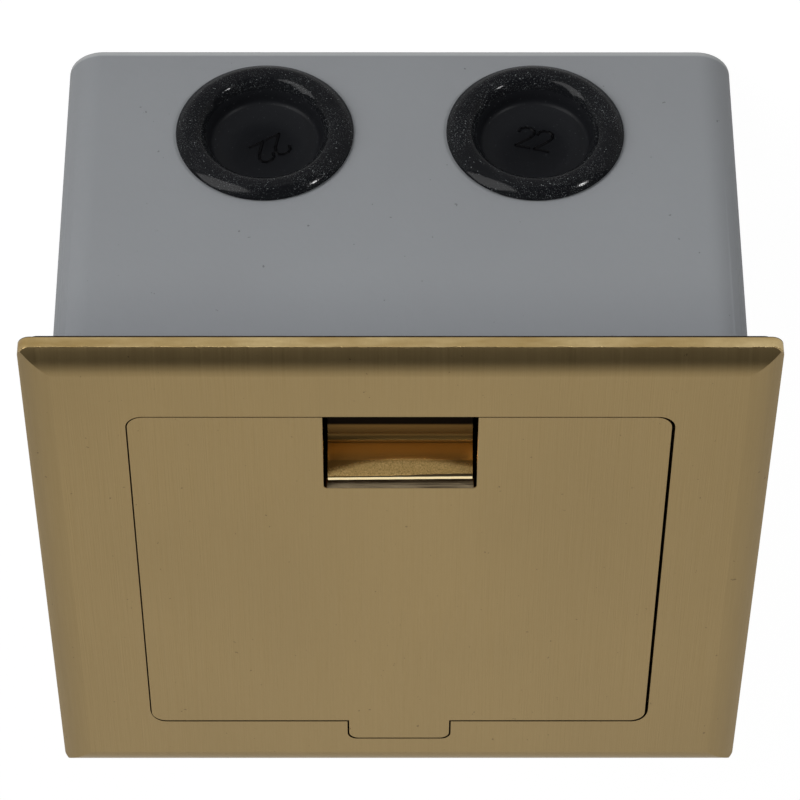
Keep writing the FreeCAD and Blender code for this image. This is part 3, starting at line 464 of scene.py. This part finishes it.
def carve(target, mesh, operation="DIFFERENCE"):
    """Cut or join a mesh with the target piece and keep only the result."""
    other = bpy.data.objects.new("other", mesh)
    bpy.context.scene.collection.objects.link(other)
    step = target.modifiers.new("carve", "BOOLEAN")
    step.operation = operation
    step.solver = "EXACT"
    step.object = other
    bpy.context.view_layer.update()
    seen = target.evaluated_get(bpy.context.evaluated_depsgraph_get())
    result = bpy.data.meshes.new_from_object(seen)
    target.modifiers.remove(step)
    target.data = result
    bpy.data.objects.remove(other)


# %% Build the back box
SHEET = 1.5 * MM
CORNER_R = 5.9 * MM
BOTTOM_R = 0.7 * MM
ENTRY_X = 22.2 * MM
ENTRY_R = 11.5 * MM
FIXING_XY = 30 * MM
FIXING_R = 2.25 * MM
LUG_NEAR = 46.1 * MM
LUG_H = 3 * MM
BOSS_R = 4 * MM
BOSS_X, BOSS_Y = 38 * MM, -20 * MM
BOSS_LOW, BOSS_HIGH = 1 * MM, 4.5 * MM
PAST = 2 * MM
box_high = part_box("back_box")[1]
half = box_high.x
depth = box_high.z
inner = half - SHEET
entry_low, entry_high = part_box("grommet_front_left")
entry_z = (entry_low.z + entry_high.z) / 2
block = solid_block((-half, -half, 0), (half, half, depth), CORNER_R, BOTTOM_R)
shell = bpy.data.objects.new("drawn_box", block)
bpy.context.scene.collection.objects.link(shell)
hollow = solid_block((-inner, -inner, SHEET), (inner, inner, depth + 5 * MM), CORNER_R - SHEET)
carve(shell, hollow)
for sx in (-1, 1):
    x = sx * ENTRY_X
    carve(shell, solid_rod(ENTRY_R, (x, -half - PAST, entry_z), (x, half + PAST, entry_z)))
    for sy in (-1, 1):
        x, y = sx * FIXING_XY, sy * FIXING_XY
        carve(shell, solid_rod(FIXING_R, (x, y, -PAST), (x, y, SHEET * 2), 32))
print("box walls:", round(SHEET / MM, 2), "mm, entries at height", round(entry_z / MM, 2), "mm")

# %% Lugs and earth boss
lug_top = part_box("inner_frame")[1].z - SHEET
for sx in (-1, 1):
    for sy in (-1, 1):
        spans = [sorted((s * LUG_NEAR, s * (inner + 0.4 * MM))) for s in (sx, sy)]
        low = (spans[0][0], spans[1][0], lug_top - LUG_H)
        high = (spans[0][1], spans[1][1], lug_top)
        carve(shell, solid_block(low, high, 0), "UNION")
boss = solid_rod(BOSS_R, (BOSS_X, BOSS_Y, BOSS_LOW), (BOSS_X, BOSS_Y, BOSS_HIGH), 40)
carve(shell, boss, "UNION")
shell.data.materials.clear()
shell.data.materials.append(box_grey)
shell.data.polygons.foreach_set("use_smooth", [True] * len(shell.data.polygons))
shell.data.set_sharp_from_angle(angle=math.radians(35))
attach(shell, "root")
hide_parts("back_box")
print("drawn box:", len(shell.data.polygons), "faces")

# %% [markdown]
# ## Cable grommets
# Each grommet is one rubber moulding: a domed rim outside the wall, a sunk floor that is
# cut or pulled out for a cable, and a neck that grips the hole. A torus and a disc could
# be joined, but a smooth curve through a few points of the profile, turned about the
# hole's axis, gives the rim and the slope down to the floor as one skin. The floor
# carries the number of the conduit size, raised a little, and each grommet sits at
# whatever angle it was pushed in.


# %% Turning and stroke helpers
def new_piece(name, points, faces, material, body, smooth=True):
    """A mesh object of these points and faces that rides on a body."""
    mesh = bpy.data.meshes.new(name)
    mesh.from_pydata([tuple(p) for p in points], [], faces)
    mesh.validate()
    if smooth:
        mesh.polygons.foreach_set("use_smooth", [True] * len(mesh.polygons))
    mesh.materials.append(material)
    piece = bpy.data.objects.new(name, mesh)
    bpy.context.scene.collection.objects.link(piece)
    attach(piece, body)
    return piece


def curve_through(points, steps):
    """Catmull-Rom points through a list of (radius, depth)."""
    out = []
    last = len(points) - 1
    for i in range(last):
        before, start = points[max(i - 1, 0)], points[i]
        end, after = points[i + 1], points[min(i + 2, last)]
        for k in range(steps):
            t = k / steps
            spot = []
            for a, b, c, d in zip(before, start, end, after):
                square = 2 * a - 5 * b + 4 * c - d
                cube = 3 * b - a - 3 * c + d
                spot.append(0.5 * (2 * b + (c - a) * t + square * t * t + cube * t**3))
            out.append(tuple(spot))
    return out + [points[-1]]


def turned(profile, centre, side, around=120):
    """Points and faces of a (radius, depth) profile turned about a wall's outward axis."""
    points = []
    faces = []
    for k in range(around):
        a = 2 * math.pi * k / around
        for r, sunk in profile:
            x = centre.x + r * math.cos(a)
            z = centre.z + r * math.sin(a)
            points.append((x, centre.y - side * sunk, z))
    rows = len(profile)
    for k in range(around):
        for i in range(rows - 1):
            a = k * rows + i
            b = ((k + 1) % around) * rows + i
            faces.append((a, a + 1, b + 1, b) if side < 0 else (a, b, b + 1, a + 1))
    return points, faces


# %% The raised number
TWO = [
    (0, 0.74), (0.05, 0.9), (0.2, 1), (0.42, 1), (0.57, 0.9),
    (0.6, 0.72), (0.5, 0.52), (0.03, 0), (0.62, 0),
]
DIGIT_STARTS = (-0.68, 0.06)
DIGIT_H = 4.2 * MM
STROKE_HALF = 0.26 * MM
STROKE_TOP = 0.45
STROKE_RISE = 0.16 * MM
STROKE_LAP = 0.1 * MM


def grommet_number(name, middle, side, turn, body):
    """The size number, 22, as raised strokes on the grommet's floor."""
    across = Vector((side, 0, 0))
    up = Vector((0, 0, -1))
    out = Vector((0, side, 0))
    a = math.radians(turn)
    along = across * math.cos(a) + up * math.sin(a)
    high = up * math.cos(a) - across * math.sin(a)
    points = []
    faces = []
    for start in DIGIT_STARTS:
        corner = middle + along * (start * DIGIT_H) - high * (0.5 * DIGIT_H)
        spots = [corner + along * (x * DIGIT_H) + high * (y * DIGIT_H) for x, y in TWO]
        for p, q in zip(spots, spots[1:]):
            run = (q - p).normalized()
            wide = run.cross(out) * STROKE_HALF
            narrow = wide * STROKE_TOP
            rise = out * STROKE_RISE
            first = len(points)
            for end in (p - run * STROKE_LAP, q + run * STROKE_LAP):
                points += [end - wide, end - narrow + rise, end + narrow + rise, end + wide]
            for i in range(3):
                faces.append((first + i, first + i + 1, first + i + 5, first + i + 4))
            faces.append((first, first + 3, first + 2, first + 1))
            faces.append((first + 4, first + 5, first + 6, first + 7))
    return new_piece(name, points, faces, number_rubber, body, smooth=False)


# %% Build the four grommets
WELL = 2.5 * MM
FLOOR_R = 8.9 * MM
FLOOR_T = 1.4 * MM
NECK_R = 11.5 * MM
FLANGE_R = 12.7 * MM
RIM_STEPS = 6
# the turn of each number in degrees, and its shift across and up in millimetres
places = {
    "front_left": (-15, (0.0, -1.0)),
    "front_right": (212, (-1.0, 1.1)),
    "rear_left": (70, (0.0, 0.0)),
    "rear_right": (138, (0.0, 0.0)),
}
for place, (turn, (dx, dz)) in places.items():
    node_name = "grommet_" + place
    low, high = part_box(node_name)
    side = -1 if place.startswith("front") else 1
    radius = (high.x - low.x) / 2
    proud = max(abs(low.y), abs(high.y)) - wall
    centre = Vector(((low.x + high.x) / 2, side * wall, (low.z + high.z) / 2))
    rim = [
        (radius - 0.3 * MM, 0.0),
        (radius, -0.45 * MM),
        (radius - 0.7 * MM, -proud + 0.65 * MM),
        (radius - 1.7 * MM, -proud + 0.1 * MM),
        (radius - 2.7 * MM, -proud),
        (FLOOR_R + 1.9 * MM, -proud + 0.35 * MM),
        (FLOOR_R + 1.1 * MM, -proud + 1.2 * MM),
        (FLOOR_R + 0.5 * MM, 0.6 * MM),
        (FLOOR_R + 0.1 * MM, WELL - 0.5 * MM),
        (FLOOR_R - 0.4 * MM, WELL),
    ]
    outside = curve_through(rim, RIM_STEPS)
    inside = [
        (0.0, WELL),
        (0.0, WELL + FLOOR_T),
        (NECK_R - 0.6 * MM, WELL + FLOOR_T),
        (FLANGE_R, SHEET),
        (NECK_R, SHEET),
        (NECK_R, 0.0),
        (radius - 0.3 * MM, 0.0),
    ]
    points, faces = turned(outside + inside, centre, side)
    piece = new_piece("rubber_" + place, points, faces, grommet_rubber, "root")
    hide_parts(node_name)
    middle = centre + Vector((dx * MM, -side * WELL, dz * MM))
    grommet_number("number_" + place, middle, side, turn, "root")
    print(piece.name, len(piece.data.polygons), "faces, number turned", turn)

# %% [markdown]
# ## The latch's crest
# The fold at the top of the thumb slope is rubbed bright by fingers and catches the light
# as one thin line. A brighter mask on the latch could draw it, but the fold is too round
# there to mirror one light, so a narrow polished cap with a flat top lies along it. It is
# set a little aslant, as a hand-set strip is. Its rear edge goes back only so far that it
# still clears the lid's edge when the latch is pushed all the way.

# %% Crest cap
polished = Finish("polished_brass", Metallic=1.0)
scratches = polished.noise(1800, 400, 400, 2.0)
polished.feed("Base Color", polished.blend(scratches, linear(246, 220, 166), linear(255, 238, 192)))
polished.feed("Roughness", 0.08 + scratches * 0.06)
CREST_Y = -27.4 * MM
CREST_HALF_X = 11.7 * MM
CREST_SLANT = 0.36 * MM
CREST_WAVE = 0.015 * MM
RUNS = 24
crest_top = lid_top - 0.35 * MM
# the cap's section: across and up from the crest, in millimetres
section = [(-0.74, -0.4), (-0.66, -0.04), (-0.56, 0.05), (0.06, 0.05), (0.15, -0.04), (0.19, -0.4)]
points = []
faces = []
for i in range(RUNS + 1):
    x = CREST_HALF_X * (2 * i / RUNS - 1)
    slant = CREST_SLANT * (i / RUNS - 0.5) + CREST_WAVE * math.sin(i * 1.9)
    for dy, dz in section:
        points.append((x, CREST_Y + slant + dy * MM, crest_top + dz * MM))
for i in range(RUNS):
    for k in range(len(section) - 1):
        a = i * len(section) + k
        faces.append((a, a + len(section), a + len(section) + 1, a + 1))
new_piece("crest", points, faces, polished.material, "latch", smooth=False)
print("crest:", len(faces), "faces at height", round(crest_top / MM, 2), "mm")

# %% [markdown]
# ## The lid's sheared edge
# Behind the latch's crest the lid's own thickness shows in the window. It was sheared,
# not brushed, so it is dull and greyer than the face, with streaks along it. A mask in
# the brass could do it, but the edge isn't metal-bright at all, so one thin face with its
# own finish lies on it.

# %% Sheared edge of the window
edge_y = WINDOW_REAR_Y - 0.02 * MM
edge_low = lid_top - 1.9 * MM
edge_high = lid_top - 0.05 * MM
edge_points = [
    (-WINDOW_HALF_X, edge_y, edge_low),
    (WINDOW_HALF_X, edge_y, edge_low),
    (WINDOW_HALF_X, edge_y, edge_high),
    (-WINDOW_HALF_X, edge_y, edge_high),
]
sheared = Finish("sheared_edge", Roughness=0.6)
streaks = sheared.noise(140, 140, 3600, 3.0, 0.6)
contrast = (streaks - 0.5) * 3.2 + 0.5
sheared.feed("Base Color", sheared.blend(contrast, linear(74, 62, 44), linear(134, 120, 94)))
sheared.bump(streaks, 0.04 * MM)
new_piece("sheared_edge", edge_points, [(0, 1, 2, 3)], sheared.material, "lid")
print("sheared edge:", round((edge_high - edge_low) / MM, 2), "mm high")

# %% [markdown]
# ## Latch springs
# Two coils push the finger latch forward. One end stands on the guide, which is part of
# the lid, and the other sits in the latch's bore, so the coils shorten as the latch goes
# back. A shape key or a deform by how near each point is to either end could follow that;
# here the coils are one fixed copy of the CAD node's mesh, and the node is hidden.

# %% Coils between the lid and the latch
spring_node = nodes["latch_springs"]
coil_mesh = spring_node.data.copy()
coil_mesh.transform(spring_node.matrix_world)
coils = bpy.data.objects.new("latch_coils", coil_mesh)
bpy.context.scene.collection.objects.link(coils)
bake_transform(coils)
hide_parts("latch_springs")

# %% [markdown]
# ## Studio
# A pale floor and soft panels. Brass shows what it mirrors, so each panel is placed by
# the piece that mirrors it. The flat plate mirrors what stands behind the box, so a broad
# panel goes there, with a low one for the side edges and a small one that only the
# latch's crest mirrors. The rolled edge mirrors what is overhead, which stays nearly
# dark, so that the edge reads as a dark band. The front wall and the rubber take their
# light from two panels on the near side: a broad one, and a small one for sharp glints.
# Many lamps could be one bright world, but then nothing on the brass would be dark. The
# floor shows white to the eye, dimmer in reflections, and keeps a soft shadow. It lies a
# hair under the box, so that the two don't share a plane.


# %% Floor and world
FLOOR_HALF = 6.0
FLOOR_Z = -0.3 * MM
FLOOR_GLOW = 1.08
FLOOR_SEEN = 0.9
FLOOR_MIRRORED = 0.38


def floor_sheet():
    """A floor that is white to the camera, dimmer in reflections, and takes a shadow."""
    mesh = bpy.data.meshes.new("floor")
    signs = ((-1, -1), (1, -1), (1, 1), (-1, 1))
    corners = [(FLOOR_HALF * x, FLOOR_HALF * y, FLOOR_Z) for x, y in signs]
    mesh.from_pydata(corners, [], [(0, 1, 2, 3)])
    sheet = bpy.data.objects.new("floor", mesh)
    bpy.context.scene.collection.objects.link(sheet)
    finish = Finish("floor_white", Roughness=0.9, Specular_IOR_Level=0.1)
    tree = finish.tree
    finish.shader.inputs["Base Color"].default_value = (0.8, 0.8, 0.8, 1)
    path = tree.nodes.new("ShaderNodeLightPath")
    seen = Value(finish, path.outputs["Is Camera Ray"])
    seen = seen.sum("MAXIMUM", Value(finish, path.outputs["Is Glossy Ray"]) * FLOOR_MIRRORED)
    seen = seen.sum("MAXIMUM", Value(finish, path.outputs["Is Transmission Ray"]))
    glow = tree.nodes.new("ShaderNodeEmission")
    glow.inputs["Color"].default_value = (1, 1, 1, 1)
    glow.inputs["Strength"].default_value = FLOOR_GLOW
    mix = tree.nodes.new("ShaderNodeMixShader")
    tree.links.new((seen * FLOOR_SEEN).socket, mix.inputs[0])
    tree.links.new(finish.shader.outputs[0], mix.inputs[1])
    tree.links.new(glow.outputs[0], mix.inputs[2])
    output = tree.nodes["Material Output"]
    tree.links.new(mix.outputs[0], output.inputs["Surface"])
    sheet.data.materials.append(finish.material)


floor_sheet()
scene = bpy.context.scene
world = bpy.data.worlds.new("studio")
world.use_nodes = True
background = world.node_tree.nodes["Background"]
background.inputs["Color"].default_value = (0.5, 0.5, 0.5, 1)
background.inputs["Strength"].default_value = 0.1
scene.world = world
print("floor:", FLOOR_HALF * 2, "m wide")


# %% Light panels
PANEL_TARGET = Vector((0, 0, 0.05))


def light_panel(name, azimuth, elevation, distance, size_x, size_y, watts):
    """A soft panel aimed at the plate, seen from it at these angles (azimuth 0 is +Y)."""
    a = math.radians(azimuth)
    e = math.radians(elevation)
    way = Vector((math.sin(a) * math.cos(e), math.cos(a) * math.cos(e), math.sin(e)))
    data = bpy.data.lights.new(name, "AREA")
    data.shape = "RECTANGLE"
    data.size = size_x
    data.size_y = size_y
    data.energy = watts
    lamp = bpy.data.objects.new(name, data)
    lamp.location = PANEL_TARGET + way * distance
    lamp.rotation_euler = way.to_track_quat("Z", "Y").to_euler()
    scene.collection.objects.link(lamp)


light_panel("panel_behind", 0, 40, 1.5, 3.2, 1.3, 5.9)
light_panel("panel_crest", 0, 37.35, 1.389, 0.3, 0.14, 0.06)
light_panel("panel_low", 0, 7, 1.6, 3.8, 0.4, 2.1)
light_panel("panel_front_high", 180, 68, 1.5, 2.6, 0.3, 0.1)
light_panel("panel_over", 0, 73, 1.5, 2.6, 0.45, 0.75)
light_panel("panel_near_left", 139, 16, 1.3, 1.2, 0.6, 14.0)
light_panel("panel_near_right", 221, 15, 1.2, 0.11, 0.11, 4.4)
print("panels:", len(bpy.data.lights))

# %% [markdown]
# ## Camera
# A long lens looks down on the plate from the latch side, and the camera is turned
# upside down, so the wall with the grommets is at the top of the frame. A tracking
# constraint could aim it; three axes written out also hold its slight roll.

# %% Place the camera
plate_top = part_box("cover_plate")[1].z
camera_data = bpy.data.cameras.new("camera")
camera_data.sensor_width = 36
camera_data.lens = 176.8
camera = bpy.data.objects.new("camera", camera_data)
CAMERA_X, CAMERA_Y, CAMERA_ABOVE = 0.0020, -0.5428, 0.3754
right = Vector((-1, -0.0025, 0.0018))
up = Vector((0.0001, -0.6052, -0.7961))
back = Vector((0.0031, -0.7961, 0.6052))
turn = Matrix((right, up, back)).transposed()
spot = Matrix.Translation((CAMERA_X, CAMERA_Y, CAMERA_ABOVE + plate_top))
camera.matrix_world = spot @ turn.to_4x4()
scene.collection.objects.link(camera)
scene.camera = camera
scene.view_settings.view_transform = "Standard"
print("camera", round(CAMERA_ABOVE, 3), "m above the plate")
